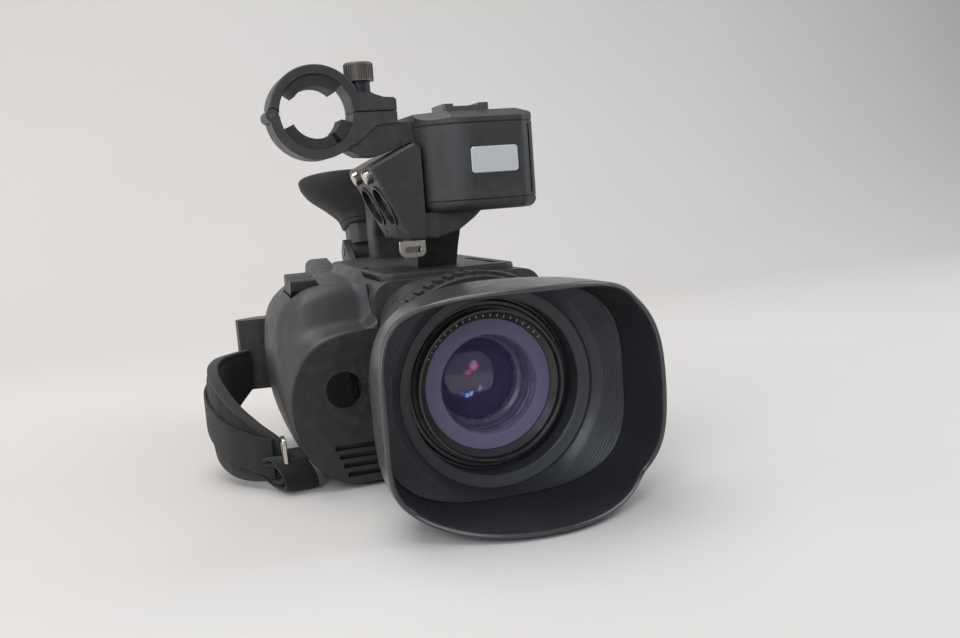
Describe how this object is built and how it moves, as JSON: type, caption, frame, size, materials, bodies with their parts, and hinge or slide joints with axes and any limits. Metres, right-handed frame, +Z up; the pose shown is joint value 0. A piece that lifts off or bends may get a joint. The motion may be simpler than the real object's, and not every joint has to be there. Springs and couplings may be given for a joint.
{
  "type": "camcorder",
  "caption": "Handheld camcorder with wide lens hood, carrying handle, microphone ring, side audio sockets, fold-out screen, tilting viewfinder and hand belt.",
  "frame": {"origin": "centre of the tripod socket's mouth in the base plate, on the plane that the camcorder stands on", "axes": "+Z up, lens axis along Y with the lens looking towards -Y, +X towards the operator's left side with the fold-out screen; hand grip and belt on -X"},
  "size_m": [0.1704, 0.3057, 0.1921],
  "materials": {
    "body_plastic": "fine moulded texture",
    "body_plastic_dark": "fine moulded texture",
    "rubber_black": "matt rubber",
    "hood_plastic": "satin",
    "mask_plastic": "ribbed satin",
    "lens_black": "matt black",
    "lens_ring_metal": "satin black",
    "coated_glass": "purple anti-reflection coating",
    "inner_glass": "coated",
    "window_gloss": "polished",
    "screen_gloss": "polished",
    "badge_light": "satin",
    "steel": "satin",
    "bright_metal": "polished",
    "dark_steel": "black oxide",
    "knob_metal": "knurled, warm dark grey",
    "webbing": "woven nylon",
    "belt_fabric": "padded nylon",
    "socket_brass": "machined",
    "board_green": "solder mask",
    "sensor_metal": "machined",
    "button_red": "gloss",
    "battery_plastic": "fine moulded texture"
  },
  "bodies": {
    "chassis": {"lens_barrel": "lens_ring_metal", "filter_ring": "lens_ring_metal", "front_element": "coated_glass", "lens_baffle": "lens_black", "inner_lens_group": "inner_glass", "lens_collar": "body_plastic", "sensor_block": "sensor_metal", "main_board": "board_green", "main_body_left_shell": "body_plastic", "main_body_right_shell": "body_plastic", "top_cover": "body_plastic", "base_plate": "body_plastic_dark", "tripod_socket": "socket_brass", "grip_housing": "body_plastic", "grip_front_panel": "body_plastic_dark", "grip_window": "window_gloss", "hand_belt_pad": "belt_fabric", "belt_strap": "webbing", "belt_anchor": "body_plastic_dark", "belt_ring": "bright_metal", "belt_tail_loop": "body_plastic_dark", "handle_frame": "body_plastic", "mic_box_shell": "body_plastic", "badge_plate": "badge_light", "mic_box_top_cover": "body_plastic", "mic_box_bottom_cover": "body_plastic", "accessory_shoe": "steel", "xlr_block": "body_plastic", "xlr_sockets": "body_plastic_dark", "neck_strap_bar": "bright_metal", "mic_ring_lower": "body_plastic", "mic_pads_lower": "rubber_black", "mic_bracket": "body_plastic", "viewfinder_base": "body_plastic", "hinge_pins": "steel", "battery_plate": "body_plastic", "cover_screws": "dark_steel"},
    "focus_ring": {"focus_ring": "rubber_black"},
    "lens_hood": {"lens_hood": "hood_plastic", "hood_mask": "mask_plastic"},
    "zoom_lever": {"zoom_lever": "body_plastic_dark"},
    "record_button": {"record_button": "button_red"},
    "handle_record_button": {"handle_record_button": "button_red"},
    "handle_zoom_rocker": {"handle_zoom_rocker": "body_plastic_dark"},
    "xlr_tab_front": {"xlr_release_tab_front": "bright_metal"},
    "xlr_tab_rear": {"xlr_release_tab_rear": "bright_metal"},
    "mic_clamp": {"mic_ring_upper": "body_plastic", "mic_pads_upper": "rubber_black"},
    "mic_clamp_knob": {"mic_clamp_knob": "knob_metal"},
    "viewfinder": {"viewfinder_tube": "body_plastic", "eyecup": "rubber_black", "eyepiece_lens": "inner_glass"},
    "lcd_door": {"lcd_door": "body_plastic", "lcd_screen": "screen_gloss"},
    "sd_door": {"sd_door": "body_plastic"},
    "iris_dial": {"iris_dial": "body_plastic_dark"},
    "nd_filter_switch": {"nd_filter_switch": "body_plastic_dark"},
    "audio_knob_1": {"audio_knob_1": "body_plastic_dark"},
    "audio_knob_2": {"audio_knob_2": "body_plastic_dark"},
    "battery": {"battery": "battery_plastic"}
  },
  "joints": [
    {"name": "focus_ring_turn", "type": "hinge", "parent": "chassis", "child": "focus_ring", "pos_m": [0, -0.057, 0.0475], "axis": [0, 1, 0], "continuous": true},
    {"name": "lens_hood_slide", "type": "slide", "parent": "chassis", "child": "lens_hood", "axis": [0, -1, 0], "range_m": [0, 0.035]},
    {"name": "zoom_lever_rock", "type": "hinge", "parent": "chassis", "child": "zoom_lever", "pos_m": [-0.063, 0.011, 0.0835], "axis": [1, 0, 0], "range_deg": [-7, 7], "stiffness_Nm_per_rad": 0.5},
    {"name": "record_button_press", "type": "slide", "parent": "chassis", "child": "record_button", "axis": [0, -1, 0], "range_m": [0, 0.0009], "stiffness_N_per_m": 800},
    {"name": "handle_record_press", "type": "slide", "parent": "chassis", "child": "handle_record_button", "axis": [0, 0, -1], "range_m": [0, 0.0012], "stiffness_N_per_m": 800},
    {"name": "handle_zoom_rock", "type": "hinge", "parent": "chassis", "child": "handle_zoom_rocker", "pos_m": [0.0035, 0.061, 0.1425], "axis": [1, 0, 0], "range_deg": [-7, 7], "stiffness_Nm_per_rad": 0.5},
    {"name": "xlr_tab_front_press", "type": "slide", "parent": "chassis", "child": "xlr_tab_front", "axis": [0.9021, 0, 0.4315], "range_m": [0, 0.0012], "stiffness_N_per_m": 600},
    {"name": "xlr_tab_rear_press", "type": "slide", "parent": "chassis", "child": "xlr_tab_rear", "axis": [0.9021, 0, 0.4315], "range_m": [0, 0.0012], "stiffness_N_per_m": 600},
    {"name": "mic_clamp_open", "type": "hinge", "parent": "chassis", "child": "mic_clamp", "pos_m": [-0.0713, -0.00025, 0.1689], "axis": [0, -1, 0], "range_deg": [0, 100]},
    {"name": "mic_clamp_knob_turn", "type": "hinge", "parent": "mic_clamp", "child": "mic_clamp_knob", "pos_m": [-0.0285, -0.00025, 0.1775], "axis": [0, 0, 1], "continuous": true},
    {"name": "viewfinder_tilt", "type": "hinge", "parent": "chassis", "child": "viewfinder", "pos_m": [0.002, 0.137, 0.0975], "axis": [1, 0, 0], "range_deg": [-75, 15]},
    {"name": "lcd_swing", "type": "hinge", "parent": "chassis", "child": "lcd_door", "pos_m": [0.043, -0.003, 0.0585], "axis": [0, 0, -1], "range_deg": [0, 90]},
    {"name": "sd_door_open", "type": "hinge", "parent": "chassis", "child": "sd_door", "pos_m": [0.0452, 0.048, 0.0142], "axis": [0, 1, 0], "range_deg": [0, 95]},
    {"name": "iris_dial_turn", "type": "hinge", "parent": "chassis", "child": "iris_dial", "pos_m": [0.0406, -0.014, 0.0235], "axis": [0, 0, 1], "continuous": true},
    {"name": "nd_switch_slide", "type": "slide", "parent": "chassis", "child": "nd_filter_switch", "axis": [0, 0, 1], "range_m": [0, 0.0125]},
    {"name": "audio_knob_1_turn", "type": "hinge", "parent": "chassis", "child": "audio_knob_1", "pos_m": [0.046, 0.1015, 0.0695], "axis": [1, 0, 0], "range_deg": [-135, 135]},
    {"name": "audio_knob_2_turn", "type": "hinge", "parent": "chassis", "child": "audio_knob_2", "pos_m": [0.046, 0.1015, 0.0515], "axis": [1, 0, 0], "range_deg": [-135, 135]},
    {"name": "battery_slide", "type": "slide", "parent": "chassis", "child": "battery", "axis": [0, 0, 1], "range_m": [0, 0.005]}
  ]
}
